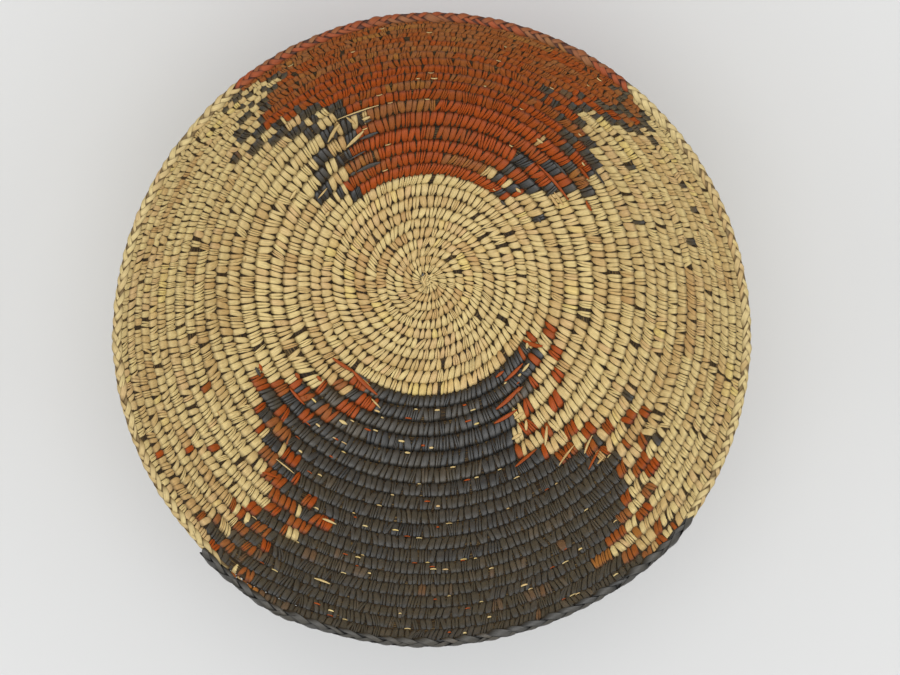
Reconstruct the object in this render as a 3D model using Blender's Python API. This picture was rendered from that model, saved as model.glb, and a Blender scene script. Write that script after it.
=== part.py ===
"""Coiled basket bowl, open side up, standing on its base.

One bundle of grass runs in a spiral from the centre to the rim. Splint stitches in natural, rust and
charcoal wrap it row by row, so each colour field is a shell round its own stretches of the bundle.

Every piece is laid out on one lattice of stations along the spiral. Station n lies n / STATIONS rows
from the centre, and the station one row further out, on the same radius, is n + STATIONS. A cell is
the stretch of one row between station n and station n + 1. Lengths are in metres.
"""

import math

import bmesh
import bpy
import numpy as np
from mathutils import Vector

# Counts of the spiral
STATIONS = 20  # in one turn
START_ROWS = 7  # tight rows round the knot, with no bundle of their own
CENTRE_ROWS = 10  # rows of the plain centre, the tight ones included
COIL_END = 594  # the station where the last row ends
TAPER_STATIONS = 1  # stations over which the last row runs out
SPINE_ROWS = 33  # rows that the profile is worked out for, a few past the rim
SPINE_STEPS = 50  # steps of the profile in one row
FIRST_ANGLE = math.radians(122.0)  # where each turn begins; the spiral winds clockwise from there

# Pitch of the rows, which widen from the centre to the wall
centre_pitch = 0.0036
wall_pitch = 0.0084
FULL_PITCH_ROW = 19
PITCH_POWER = 1.5

# Profile of the bowl, as lengths along the rows from the centre, and the slope at the end of each
base_flat = 0.0413
base_ease = 0.0051
dish = 0.0284
shoulder = 0.0267
wall = 0.0678
DISH_START_SLOPE = math.radians(30.0)
DISH_END_SLOPE = math.radians(22.0)
WALL_START_SLOPE = math.radians(58.0)
WALL_END_SLOPE = math.radians(74.0)

# Section of one row, with heights as shares of half the row's thickness
centre_half_thickness = 0.0017
wall_half_thickness = 0.0024
rim_half_thickness = 0.0016
THIN_ROW = 24  # from here the wall thins towards the rim, on its outside
shoulder_place_shares = (0.27, 0.73)  # of the row's width
ridge_place_share = 0.5  # of the row's width, where the space for the bundle is highest
row_height_shares = (0.45, 1.0, 0.45)  # inner valley, top of the row, outer valley
rim_height_shares = (0.8, 1.1, 0.5)  # the braid laps over the row below and rounds off on top
rim_width_share = 0.4  # of a row, the height of the braid
taper_width_share = 0.3  # of a row, left where the last row runs out

# Splints
splint_wall = 0.0004  # least thickness of the layer of stitches
clearance = 0.0003  # between neighbours that touch
knot_radius = 0.0031
knot_height = 0.0032
end_radius = 0.0006
end_lift = 0.0030
END_POINTS = 6
end_tip_share = 0.4
coil_margin_share = 0.1  # of one cell, left free at both ends of the bundle
coil_tip_share = 0.45

# Stepped borders of the colours: the angle of each border at some rows, in degrees from +X
BORDERS = {
    "upper_right": ((11, 47), (13, 42), (16, 26), (19, 40), (22, 56), (25, 42), (27, 41), (30, 51)),
    "upper_left": ((11, 131), (12, 138), (15, 119), (20, 138), (24, 127), (30, 129)),
    "lower_left": ((11, 233), (12, 238), (16, 213), (20, 231), (23, 240), (27, 226), (30, 227)),
    "lower_right": ((11, 331), (14, 315), (16, 304), (21, 329), (26, 310), (30, 325)),
}
RIM_BORDERS = {"upper_right": 54, "upper_left": 128, "lower_left": 232, "lower_right": 325}

# Loose ends of splint: colour, row and angle in degrees
LOOSE_ENDS = {
    "loose_end_charcoal": ("charcoal", 14, 112),
    "loose_end_natural": ("natural", 16, 120),
    "loose_end_rust_lower_left": ("rust", 12, 236),
    "loose_end_rust_right": ("rust", 12, 331),
    "loose_end_rust_lower_right": ("rust", 14, 305),
}

COLOURS = {
    "natural": (0.62, 0.47, 0.24),
    "rust": (0.30, 0.085, 0.03),
    "charcoal": (0.075, 0.075, 0.08),
    "grass": (0.42, 0.33, 0.16),
}


def growth_at(row):
    """How far the rows have grown at a row, from 0 at the centre to 1 in the wall."""
    return np.minimum(row / FULL_PITCH_ROW, 1.0) ** PITCH_POWER


def pitch_at(row):
    """Width of a row, measured along the profile."""
    return centre_pitch + (wall_pitch - centre_pitch) * growth_at(row)


def full_half_thickness_at(row):
    return centre_half_thickness + (wall_half_thickness - centre_half_thickness) * growth_at(row)


def thinning_at(row):
    """What half the thickness has lost at a row near the rim."""
    share = np.clip((row - THIN_ROW) / (COIL_END / STATIONS - THIN_ROW), 0.0, 1.0)
    return (wall_half_thickness - rim_half_thickness) * share


def half_thickness_at(row):
    return full_half_thickness_at(row) - thinning_at(row)


def spine():
    """Rows, radii, heights and slopes of the surface that the rows rest on, from the centre out."""
    rows = np.arange(SPINE_ROWS * SPINE_STEPS) / SPINE_STEPS
    steps = pitch_at(rows) / SPINE_STEPS
    travelled = np.cumsum(steps) - steps
    marks = np.cumsum([base_flat, base_ease, dish, shoulder, wall])
    slopes = np.interp(
        travelled, marks, [0.0, DISH_START_SLOPE, DISH_END_SLOPE, WALL_START_SLOPE, WALL_END_SLOPE]
    )
    radii = np.cumsum(steps * np.cos(slopes)) - steps * np.cos(slopes)
    heights = np.cumsum(steps * np.sin(slopes)) - steps * np.sin(slopes)
    return rows, radii, heights, slopes


SPINE = spine()


def radius_at(row):
    return float(np.interp(row, SPINE[0], SPINE[1]))


def row_at(station):
    """Rows from the centre at a station. The upper edge of the last row comes back down at its end."""
    taper_start = COIL_END + STATIONS - TAPER_STATIONS
    back = max(0.0, station - taper_start) / TAPER_STATIONS
    return station / STATIONS - back * (1.0 - taper_width_share)


def angle_at(station):
    return FIRST_ANGLE - 2.0 * math.pi * station / STATIONS


def spot(row, angle, offset):
    """A point at a row and an angle, raised from the middle of the rows towards the bowl's inside.

    Where the wall thins, its inside stays in line and its middle moves in.
    """
    raised = float(offset + thinning_at(row))
    slope = float(np.interp(row, SPINE[0], SPINE[3]))
    radius = radius_at(row) - raised * math.sin(slope)
    base = float(np.interp(row, SPINE[0], SPINE[2]))
    height = base + full_half_thickness_at(row) + raised * math.cos(slope)
    return Vector((radius * math.cos(angle), radius * math.sin(angle), height))


def middle(station, offset):
    """A point on the middle line of the row that starts at a station."""
    inner = row_at(station)
    row = inner + (row_at(station + STATIONS) - inner) * ridge_place_share
    return spot(row, angle_at(station), offset)


def cavity_half_height(row, place):
    """Half the height of the space that a shell leaves for the bundle, under a valley or under the top."""
    return half_thickness_at(row) * row_height_shares[place] - splint_wall


def sign(value):
    return (value > 0) - (value < 0)


class StitchedShell:
    """A shell round a group of cells, open along the spiral where the bundle runs on.

    Its outer skin has a valley between rows and two shoulders on each row, above and below. Its
    inner skin rises from each valley to a ridge under the top of the row. A side wall closes it
    along a row. The tight start and the braid are solid, and the braid is narrower than a row.
    """

    def __init__(self, cells, height_shares, hollow, width_share=None):
        self.cells = set(cells)
        self.height_shares = height_shares
        self.hollow = hollow
        self.width_share = width_share
        self.mesh = bmesh.new()
        self.made = {}

    def edge_ways(self, station):
        """The way from the group's edge into the group at a lattice point: along the row, and out."""
        after_out = station in self.cells
        before_out = station - 1 in self.cells
        after_in = station - STATIONS in self.cells
        before_in = station - STATIONS - 1 in self.cells
        along = sign((after_out - before_out) + (after_in - before_in))
        out = sign((after_out - after_in) + (before_out - before_in))
        return along, out

    def row_of(self, station):
        """Rows from the centre at a lattice point of this shell."""
        below = station - STATIONS
        if self.width_share and (below in self.cells or below - 1 in self.cells):
            return row_at(below) + self.width_share
        return row_at(station)

    def vertex(self, key, row, station, along, offset):
        """A vertex, made once for its key, moved in from an open end of the group."""
        if key not in self.made:
            inset = along * clearance / 2.0 / radius_at(row)
            self.made[key] = self.mesh.verts.new(spot(row, angle_at(station) - inset, offset))
        return self.made[key]

    def edge_vertex(self, station, side):
        """A vertex of the outer skin, on the line between two rows."""
        along, out = self.edge_ways(station)
        row = self.row_of(station)
        row += out * clearance / 2.0 / pitch_at(row)
        starts_row = station in self.cells or station - 1 in self.cells
        share = self.height_shares[0] if starts_row else self.height_shares[2]
        offset = side * share * half_thickness_at(row)
        return self.vertex(("edge", station, side), row, station, along, offset)

    def shoulder_vertex(self, station, place, side):
        """A vertex of the outer skin, on top of a row."""
        along = sign((station in self.cells) - (station - 1 in self.cells))
        inner = self.row_of(station)
        row = inner + (self.row_of(station + STATIONS) - inner) * shoulder_place_shares[place]
        offset = side * self.height_shares[1] * half_thickness_at(row)
        return self.vertex(("shoulder", station, place, side), row, station, along, offset)

    def cavity_vertex(self, station, side):
        """A vertex of the inner skin, on the line between two rows."""
        along, out = self.edge_ways(station)
        row = row_at(station)
        offset = side * cavity_half_height(row, 0)
        row += out * (clearance / 2.0 + splint_wall) / pitch_at(row)
        return self.vertex(("cavity", station, side), row, station, along, offset)

    def ridge_vertex(self, station, side):
        """A vertex of the inner skin, under the top of a row."""
        along = sign((station in self.cells) - (station - 1 in self.cells))
        inner = row_at(station)
        row = inner + (row_at(station + STATIONS) - inner) * ridge_place_share
        offset = side * cavity_half_height(row, 1)
        return self.vertex(("ridge", station, side), row, station, along, offset)

    def across_cavity(self, station, side):
        """The inner skin's vertices across one row at a station."""
        return [
            self.cavity_vertex(station, side),
            self.ridge_vertex(station, side),
            self.cavity_vertex(station + STATIONS, side),
        ]

    def across(self, station, side):
        """The outer skin's vertices across one row at a station."""
        return [
            self.edge_vertex(station, side),
            self.shoulder_vertex(station, 0, side),
            self.shoulder_vertex(station, 1, side),
            self.edge_vertex(station + STATIONS, side),
        ]

    def skins(self, cell):
        kinds = [self.across, self.across_cavity] if self.hollow else [self.across]
        for side in (1, -1):
            for kind in kinds:
                near = kind(cell, side)
                far = kind(cell + 1, side)
                for place in range(len(near) - 1):
                    self.mesh.faces.new((near[place], near[place + 1], far[place + 1], far[place]))

    def side_walls(self, cell):
        """The walls along the row's inner and outer line, where the next row isn't in the group."""
        kinds = [self.edge_vertex, self.cavity_vertex] if self.hollow else [self.edge_vertex]
        for neighbour, line in ((cell - STATIONS, cell), (cell + STATIONS, cell + STATIONS)):
            if neighbour in self.cells:
                continue
            for kind in kinds:
                corners = (kind(line, 1), kind(line + 1, 1), kind(line + 1, -1), kind(line, -1))
                self.mesh.faces.new(corners)

    def row_ends(self, cell):
        """The faces across the row where the group begins or ends along the spiral."""
        for neighbour, line in ((cell - 1, cell), (cell + 1, cell + 1)):
            if neighbour in self.cells:
                continue
            if not self.hollow:
                self.mesh.faces.new(self.across(line, 1) + self.across(line, -1)[::-1])
                continue
            for side in (1, -1):
                self.mesh.faces.new(self.across(line, side) + self.across_cavity(line, side)[::-1])

    def jambs(self):
        """The faces that join the two skins where a side wall stops at an open end."""
        for key in [key for key in self.made if key[0] == "edge" and key[2] == 1]:
            station = key[1]
            along, out = self.edge_ways(station)
            if along and out:
                above = (self.edge_vertex(station, 1), self.cavity_vertex(station, 1))
                below = (self.cavity_vertex(station, -1), self.edge_vertex(station, -1))
                self.mesh.faces.new(above + below)

    def build(self, name, colour):
        for cell in sorted(self.cells):
            self.skins(cell)
            self.side_walls(cell)
            self.row_ends(cell)
        if self.hollow:
            self.jambs()
        bmesh.ops.recalc_face_normals(self.mesh, faces=self.mesh.faces)
        if self.mesh.calc_volume(signed=True) < 0.0:
            bmesh.ops.reverse_faces(self.mesh, faces=self.mesh.faces)
        data = bpy.data.meshes.new(name)
        self.mesh.to_mesh(data)
        self.mesh.free()
        return add_piece(name, data, colour)


def material(colour):
    """The splint's or the grass's own finish, made once for each colour."""
    found = bpy.data.materials.get(colour)
    if found:
        return found
    made = bpy.data.materials.new(colour)
    made.use_nodes = True
    shader = made.node_tree.nodes["Principled BSDF"]
    shader.inputs["Base Color"].default_value = (*COLOURS[colour], 1.0)
    shader.inputs["Roughness"].default_value = 0.6
    shader.inputs["Metallic"].default_value = 0.0
    return made


def add_piece(name, data, colour):
    data.materials.append(material(colour))
    piece = bpy.data.objects.new(name, data)
    piece.parent = bpy.data.objects["basket_centre"]
    bpy.data.collections["coiled_basket_bowl"].objects.link(piece)
    return piece


def add_tube(name, points, radii, colour):
    """A round strand through points, thinner where its radius is smaller."""
    data = bpy.data.curves.new(name, "CURVE")
    data.dimensions = "3D"
    data.bevel_depth = 1.0
    data.bevel_resolution = 1
    data.use_fill_caps = True
    line = data.splines.new("POLY")
    line.points.add(len(points) - 1)
    for point, place, radius in zip(line.points, points, radii):
        point.co = (*place, 1.0)
        point.radius = radius
    return add_piece(name, data, colour)


def border_angle(name, row):
    """The angle of a stepped border at a row."""
    rows, angles = zip(*BORDERS[name])
    return float(np.interp(row, rows, angles))


def field_of(cell, borders):
    """The colour field that a cell lies in, from the four borders' angles."""
    middle_angle = math.degrees(angle_at(cell + 0.5)) % 360
    if borders["upper_right"] <= middle_angle < borders["upper_left"]:
        return "rust"
    if borders["upper_left"] <= middle_angle < borders["lower_left"]:
        return "natural_left"
    if borders["lower_left"] <= middle_angle < borders["lower_right"]:
        return "charcoal"
    return "natural_right"


def colour_of(field):
    return field.split("_")[0]


def make_stitching():
    """The tight start, the plain centre and the four colour fields."""
    start = range(STATIONS, START_ROWS * STATIONS)
    StitchedShell(start, row_height_shares, False).build("start_stitching", "natural")
    centre = range(START_ROWS * STATIONS, CENTRE_ROWS * STATIONS)
    StitchedShell(centre, row_height_shares, True).build("natural_centre_stitching", "natural")
    fields = {}
    for cell in range(CENTRE_ROWS * STATIONS, COIL_END):
        row = cell // STATIONS + 1
        borders = {name: border_angle(name, row) for name in BORDERS}
        fields.setdefault(field_of(cell, borders), []).append(cell)
    for field, cells in fields.items():
        shell = StitchedShell(cells, row_height_shares, True)
        shell.build(field + "_stitching", colour_of(field))


def make_rim():
    """The braid over the last row, in the colours of the fields below."""
    fields = {}
    for cell in range(COIL_END, COIL_END + STATIONS):
        fields.setdefault(field_of(cell, RIM_BORDERS), []).append(cell)
    for field, cells in fields.items():
        shell = StitchedShell(cells, rim_height_shares, False, rim_width_share)
        shell.build("rim_braid_" + field, colour_of(field))


def bundle_radius(station):
    """Radius of the grass bundle: it fills the shell's space, and is thin where the row runs out."""
    row = row_at(station)
    half_width = (row_at(station + STATIONS) - row) * pitch_at(row) / 2.0
    side_room = half_width - clearance / 2.0 - splint_wall
    ridge = cavity_half_height(row, 1)
    fall = math.atan2(ridge - cavity_half_height(row, 0), half_width)
    return min(ridge * math.cos(fall), side_room) - clearance


def make_foundation():
    """The bundle of grass inside the stitching, one unbroken spiral."""
    stations = range(START_ROWS * STATIONS, COIL_END + 1)
    points = [middle(station, 0.0) for station in stations]
    radii = [bundle_radius(station) for station in stations]
    points[0] = points[0].lerp(points[1], coil_margin_share)
    points[-1] = points[-1].lerp(points[-2], coil_margin_share)
    radii[0] *= coil_tip_share
    add_tube("foundation_coil", points, radii, "grass")
    print(f"foundation_coil: least gap to itself {1000 * least_gap(points, radii):.2f} mm")


def least_gap(points, radii):
    """The least distance between the surfaces of neighbouring loops, on points along each cell."""
    shares = np.linspace(0.0, 1.0, 5)[:-1, None, None]
    places = np.array(points)
    places = (places[:-1] * (1.0 - shares) + places[1:] * shares).swapaxes(0, 1).reshape(-1, 3)
    thick = np.repeat(np.maximum(radii[:-1], radii[1:]), len(shares))
    apart = STATIONS // 2 * len(shares)
    least = math.inf
    for index in range(len(places) - apart):
        others = places[index + apart :]
        gaps = np.linalg.norm(others - places[index], axis=1) - thick[index] - thick[index + apart :]
        least = min(least, float(gaps.min()))
    return least


def make_knot():
    """The knot of splint that the spiral starts from."""
    shape = bmesh.new()
    bmesh.ops.create_uvsphere(shape, u_segments=12, v_segments=8, radius=1.0)
    for vertex in shape.verts:
        vertex.co.x *= knot_radius
        vertex.co.y *= knot_radius
        vertex.co.z = knot_height / 2.0 * (1.0 + vertex.co.z) + clearance
    data = bpy.data.meshes.new("start_knot")
    shape.to_mesh(data)
    shape.free()
    data.shade_smooth()
    add_piece("start_knot", data, "natural")


def make_loose_ends():
    """Ends of splint that stand a little off the inside of the bowl."""
    for name, (colour, row, degrees) in LOOSE_ENDS.items():
        turned = (FIRST_ANGLE - math.radians(degrees)) % (2.0 * math.pi)
        station = (row - 1) * STATIONS + round(turned / (2.0 * math.pi) * STATIONS)
        points = []
        radii = []
        for index in range(END_POINTS):
            share = index / (END_POINTS - 1)
            seat = half_thickness_at(row) + clearance + end_radius + end_lift * share**2
            points.append(middle(station, seat).lerp(middle(station + 1, seat), share))
            radii.append(end_radius * (1.0 - share * (1.0 - end_tip_share)))
        add_tube(name, points, radii, colour)


def centre_on_footprint():
    """Moves the whole basket so that the origin is at the bottom centre of its box."""
    bpy.context.view_layer.update()
    graph = bpy.context.evaluated_depsgraph_get()
    corners = []
    for piece in bpy.data.collections["coiled_basket_bowl"].objects:
        if piece.type != "EMPTY":
            shape = piece.evaluated_get(graph).to_mesh()
            corners.extend(piece.matrix_world @ vertex.co for vertex in shape.vertices)
            piece.evaluated_get(graph).to_mesh_clear()
    corners = np.array(corners)
    low, high = corners.min(axis=0), corners.max(axis=0)
    bpy.data.objects["basket_centre"].location = (-(low[0] + high[0]) / 2, -(low[1] + high[1]) / 2, 0)


def main():
    for old in list(bpy.data.objects):
        bpy.data.objects.remove(old)
    bpy.context.scene.collection.children.link(bpy.data.collections.new("coiled_basket_bowl"))
    centre = bpy.data.objects.new("basket_centre", None)
    bpy.data.collections["coiled_basket_bowl"].objects.link(centre)
    make_knot()
    make_stitching()
    make_rim()
    make_foundation()
    make_loose_ends()
    centre_on_footprint()


main()
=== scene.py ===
"""The looks of a coiled basket bowl: every splint stitch, the braided rim, the floor, light and camera.

The bowl is one bundle of grass wound in a spiral and wrapped in splint. A place on it is a turn and a
row line: turn t lies at FIRST_ANGLE - 2 pi t, and the row that starts there has its inner line t rows
from the centre and its outer line one row further out. Lengths are in metres unless a name says mm.
"""

import math
from collections import namedtuple

import bpy
import numpy as np
from mathutils import Matrix, Vector


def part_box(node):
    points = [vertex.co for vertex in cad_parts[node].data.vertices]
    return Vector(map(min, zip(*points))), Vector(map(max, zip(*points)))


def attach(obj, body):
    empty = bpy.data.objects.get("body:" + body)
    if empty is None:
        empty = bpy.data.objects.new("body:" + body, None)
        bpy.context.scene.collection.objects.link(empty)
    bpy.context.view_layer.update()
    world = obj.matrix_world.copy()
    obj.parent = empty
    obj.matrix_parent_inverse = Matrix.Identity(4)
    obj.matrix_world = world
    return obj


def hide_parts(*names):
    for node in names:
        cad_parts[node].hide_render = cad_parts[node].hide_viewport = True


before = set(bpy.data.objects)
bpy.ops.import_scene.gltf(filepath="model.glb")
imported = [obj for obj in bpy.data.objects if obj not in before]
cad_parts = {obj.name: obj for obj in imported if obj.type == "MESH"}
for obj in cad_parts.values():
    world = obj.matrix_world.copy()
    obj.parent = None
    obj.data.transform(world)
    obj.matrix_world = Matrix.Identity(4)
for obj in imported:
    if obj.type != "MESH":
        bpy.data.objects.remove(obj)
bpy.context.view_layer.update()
dice = np.random.default_rng(31)

# The spiral and the bowl's profile, as in the solids
FIRST_ANGLE = math.radians(122.0)
FULL_CIRCLE = 2.0 * math.pi
MM = 1000.0  # millimetres in a metre
LEAST_LENGTH = 1e-12  # of a vector, so that nothing is divided by zero
SPINE_STEPS = 50
SPINE_ROWS = 33
START_TURN = 0.12
TIGHT_TURNS = 7
CENTRE_ROWS = 10
COIL_END = 29.7
TAPER_TURNS = 0.035  # over which the last row runs out
TAPER_LEFT = 0.3  # of a row, left at its end
BULGE_TURNS = 0.07  # before the coil's end, where its row leaves the line of the wall
BULGE_RISE_TURNS = 0.045
end_bulge = 0.0009
centre_pitch = 0.0036
wall_pitch = 0.0084
FULL_PITCH_ROW = 19
PITCH_POWER = 1.5
base_flat = 0.0413
base_ease = 0.0051
dish = 0.0284
shoulder = 0.0267
wall = 0.0678
slopes_degrees = (0.0, 30.0, 22.0, 58.0, 74.0)
centre_half_thickness = 0.0017
wall_half_thickness = 0.0024
rim_half_thickness = 0.0016
THIN_ROW = 24  # from here the wall thins towards the rim, on its outside

# The rows waver a little: share of a row, waves in one turn and where each wave starts
WAVERS = ((0.035, 5.3, 0.0), (0.030, 2.17, 1.0), (0.015, 11.7, 2.0))

# The rim isn't round: from this row out, waves round it (size, count and start in degrees), and
# swells at the charcoal braid's two ends (angle and width in degrees, size)
UNEVEN_ROW = 18
UNEVEN_POWER = 1.5  # how late over those rows it sets in
rim_inset = 0.00025
RIM_WAVES = ((0.00117, 1, 68.0), (0.00034, 2, -54.0), (0.00086, 3, 93.0))
RIM_SWELLS = ((231.0, 8.0, 0.0018), (317.0, 11.0, 0.0015))

# One stitch, from its outer edge over the row to its inner tip: shares of the pitch and of the rise
path_across_shares = (0.50, 0.46, 0.35, 0.13, -0.12, -0.34, -0.50, -0.60)
path_up_shares = (0.10, 0.52, 0.86, 1.00, 0.99, 0.82, 0.50, 0.20)
tip_place_share = -0.60
section_shares = (-1.0, -0.76, 0.0, 0.76, 1.0)
taper_place_share = -0.2  # of the pitch, where the inner end starts to narrow
outer_width_share = 0.90
painted_edge_shades = (0.42, 0.06, 0.0, 0.06, 0.42, 0.9)  # painted shade over a section, darkest at its side edges where stitches meet, the last on its underside
painted_inner_shade = 0.62  # painted shade where a stitch dives in beside the row within
painted_outer_shade = 0.60  # and where it comes out
splint_thickness = 0.00030
splint_crown = 0.00024
CROWN_POWER = 3  # how square the crown is
gap_between = 0.00013
strand_gap = 0.00004
bundle_width_share = 0.505
bundle_spare = 0.00062  # from the skin of the wall in to the bundle
BUNDLE_SIDES = 28
BUNDLE_STEPS = 48  # in a turn
BUNDLE_SIDE_MM = 0.6  # what a side measures on the fibre map
BUNDLE_RIB = 0.05  # of its radius, the grooves between the stems
BOXINESS = 0.9  # of its section, where 1 is an ellipse

# Width of a stitch along its row, by row
WIDTH_ROWS = (1, 3, 6, 10, 30)
widths_natural = (0.0013, 0.0021, 0.0026, 0.0029, 0.0029)
widths_dyed = (0.0020, 0.0023, 0.0025, 0.0026, 0.0025)

N, R, C = "natural", "rust", "charcoal"
COLOURS = {"N": N, "R": R, "C": C}
FIRST_BORDER_ROW = 11


def border(lines):
    """The rows of a stepped border from its first one out, a line for each."""
    return {
        row: tuple(COLOURS.get(word) or float(word) for word in line.split())
        for row, line in enumerate(lines.strip().splitlines(), FIRST_BORDER_ROW)
    }


# The borders, read row by row: colours, with the angles in degrees that part them
UPPER_RIGHT = border("""
N 47 N
N 47 R 50 C 55 R
N 44.1 R 47.6 C 50 N 53.2 R 56 C 59.3 N 63.5 R
N 42 C 46.6 R 55 C 58.8 R
N 37.6 C 42 R 51 C 56.2 R
N 33.8 C 36.6 R 41.6 C 48.5 R
N 29.9 C 34.1 R 39.8 C 43 R
N 36 C 37.9 R 42 C 43.4 R 45 C 48.5 R
N 38 C 42.8 R 47.3 C 51.3 R
N 43.2 C 47 R 52 C 53 R 54.5 C 55.7 R
N 48.8 C 51 R 57 C 58.8 R 60 C 61.5 R
N 52 C 55.7 R 61.3 C 62.9 R
N 48.6 C 50 N 51.2 C 54.4 R 56.6 C 60 R
N 45.4 C 49.4 R 54.4 C 56.3 R
N 42.6 C 46 R 49.4 C 51 R 51.6 C 52.9 R
N 41.5 C 44.1 R 47.6 C 50 R
N 38.2 C 41 N 42.7 C 43.8 R 45.7 C 47.7 R 48.8 C 50 R
N 41.3 C 46 R 50 C 51.3 R
N 44.4 C 46.6 R 50.7 C 52.2 R 53.5 C 54.7 R
N 50 R 51.3 C 52.9 R
""")
UPPER_LEFT = border("""
N 122 R 125.4 C 131.7 N
R 130.4 N 131.7 C 134.2 N 141.8 C 143.6 N 145.3 C 147 N
R 126.4 N 127.3 C 129.8 N 134.8 C 142 N
R 122 C 124.8 N 131.4 C 135.9 N
R 120.4 C 122 N 124.8 C 130.8 N
R 114.5 C 118 N 122 C 124.3 N
R 108.4 N 111 C 113.2 N 115 C 118 N 120.7 C 122 N 123.7 C 128 N
R 115 C 118 N 122 C 124.2 N 126.4 C 131.4 N
R 114.8 C 118 N 119.4 C 120.7 N 122 C 125.4 N 130.4 C 136 N
R 119.8 C 122 R 123 C 125.4 R 128.1 N 129 C 131.8 N 136.7 C 139.8 N
R 133.2 C 135.9 N 140.9 C 144 N
R 131 C 133.2 N 136.4 C 138.9 N
R 127 C 129.7 N 135.4 C 137.8 N
R 127 C 128.9 N 132 C 135.8 N
R 123.3 C 125.8 N 129.5 C 131 N
R 122 N 124.8 C 126.4 N 130.5 C 131.3 N
R 120 N 120.8 C 124.3 N 127 C 128.9 N
R 120.7 C 122 R 125.1 N 129.2 C 130.8 N 131.7 C 133.6 N
R 127.9 C 129.8 N 130.2 C 131.5 N
R 129 N
""")
LOWER_LEFT = border("""
N 233 N
N 231.6 R 241.3 C
N 227.5 R 232.8 N 235 C 239 R 248 C
N 222.8 R 225 C 233.9 R 241.6 C
N 216.4 R 218.8 C 220.5 R 223.1 C 228.4 R 234.7 C
N 210.8 R 216.6 C 225 R 229.4 C
N 207.5 R 211.2 C 217.8 R 222.2 C
N 213.5 R 216.4 C 219.8 R 227 C
N 217.8 R 220 N 221.1 C 225.5 N 228.1 R 232.7 C
N 222.7 R 226.9 C 233.1 R 235.5 C
N 226 R 233 C 237.5 R 241.7 C
N 230 R 236.6 N 238.5 C 242.5 R 246.6 C
N 232 R 234.5 C 236.7 R 238.6 C 239 R 242.2 C
N 227.5 R 230.6 C 236.1 R 237.7 N 240 C
N 223.8 R 225 N 226 R 228 N 229.7 C 230.6 R 235 C
N 227.5 R 229.5 C 233.8 R 236.2 C
N 223 R 224.5 N 226.3 C 230.6 R 232.7 C
N 218.8 R 221.4 N 222.7 C 227 R 229.7 C
N 224 R 227 C 230.6 N 232.5 R 235 C
N 230 R 232.5 N 233.4 R 236.5 C
""")
LOWER_RIGHT = border("""
N 331 N
C 321 R 324.5 C 326.7 N 330 R 335.1 N
C 322.2 R 326.4 C 330 N 337 R 341.4 N
C 315.1 R 317.3 N 330 R 335 N
C 303.2 N 307 R 310.8 N 322.9 R 327 N
C 298.8 N 302.6 R 307.4 N 314.8 R 320 N
C 297.6 R 300.3 N 307.3 R 312.3 N
C 304.2 R 307 N 313.3 R 317.6 N
C 307.3 R 313 N 318.4 R 320.8 N
C 315.8 R 318.2 C 319.8 N 323.3 R 326 N
C 316 N 318.4 R 320.8 N 327.3 R 331.4 N
C 322 N 324.2 R 325.4 N 331.2 R 335 N
C 318.2 R 320.8 N 327 R 328.9 N
C 318.6 N 321 R 326 N
C 315.4 R 317.8 N 323.3 R 326.2 N
C 312.3 R 315.4 N 319.8 R 322.8 N
C 308.6 R 312.3 N 316.1 R 319.2 N
C 303.5 R 307.8 N 313.5 R 315.1 N
C 309.5 R 312.5 N 317.6 R 320 N
C 313 R 315.4 N 316.7 R 318.6 N 320.1 R 322.3 N
""")

# Single stitches of another colour: row and angle in degrees
STRAY_STITCHES = {
    (13, 30.5): C, (17, 53.5): N, (20, 20): C, (22, 35): C, (22, 19.5): C,
    (25, 16.2): C, (27, 29.3): C, (27, 23.5): C, (20, 333): C, (24, 330): C,
    (28, 205): R, (21, 201.5): R, (23, 214): R, (25, 209): R,
}
# The braid on the rim: field, the turns where it begins and ends, length of one chevron, splint width
RIM_RUNS = (
    ("natural_left", 28.700, 28.981, 0.0056, 0.0021),
    ("rust", 28.981, 29.192, 0.0050, 0.0020),
    ("natural_right", 29.192, 29.436, 0.0054, 0.0021),
    ("charcoal", 29.436, 29.713, 0.0078, 0.0026),
)

# The camera, in the bowl's own frame: where it stands, how it leans and its lens
BASE_PIXEL = 0.00045  # what one pixel of a 900-pixel-wide picture spans at the bowl's base
camera_distance_px = 2648.68
camera_shift_px = (-23.40, 61.59)
camera_height_zero = -0.010914
TILT_X = math.radians(11.2696)
TILT_Y = math.radians(-1.4516)
SENSOR_MM = 36.0
PICTURE_PX = 900.0
clip_start = 0.05

CENTRE = (Vector(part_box("start_knot")[0]) + Vector(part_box("start_knot")[1])) / 2.0


def srgb(red, green, blue):
    """A linear colour from the 0 to 255 values of a screen."""
    return tuple((value / 255.0) ** 2.2 for value in (red, green, blue))


def growth_at(row):
    return np.minimum(row / FULL_PITCH_ROW, 1.0) ** PITCH_POWER


def pitch_at(row):
    return centre_pitch + (wall_pitch - centre_pitch) * growth_at(row)


def full_half_thickness_at(row):
    return centre_half_thickness + (wall_half_thickness - centre_half_thickness) * growth_at(row)


def thinning_at(row):
    """What half the thickness has lost at a row near the rim."""
    share = np.clip((row - THIN_ROW) / (COIL_END - THIN_ROW), 0.0, 1.0)
    return (wall_half_thickness - rim_half_thickness) * share


def half_thickness_at(row):
    return full_half_thickness_at(row) - thinning_at(row)


def spine():
    """Rows, radii, heights and slopes of the surface that the rows rest on, from the centre out."""
    rows = np.arange(SPINE_ROWS * SPINE_STEPS) / SPINE_STEPS
    steps = pitch_at(rows) / SPINE_STEPS
    travelled = np.cumsum(steps) - steps
    marks = np.cumsum([base_flat, base_ease, dish, shoulder, wall])
    slopes = np.interp(travelled, marks, np.radians(slopes_degrees))
    radii = np.cumsum(steps * np.cos(slopes)) - steps * np.cos(slopes)
    heights = np.cumsum(steps * np.sin(slopes)) - steps * np.sin(slopes)
    return rows, radii, heights, slopes


SPINE = spine()


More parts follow.
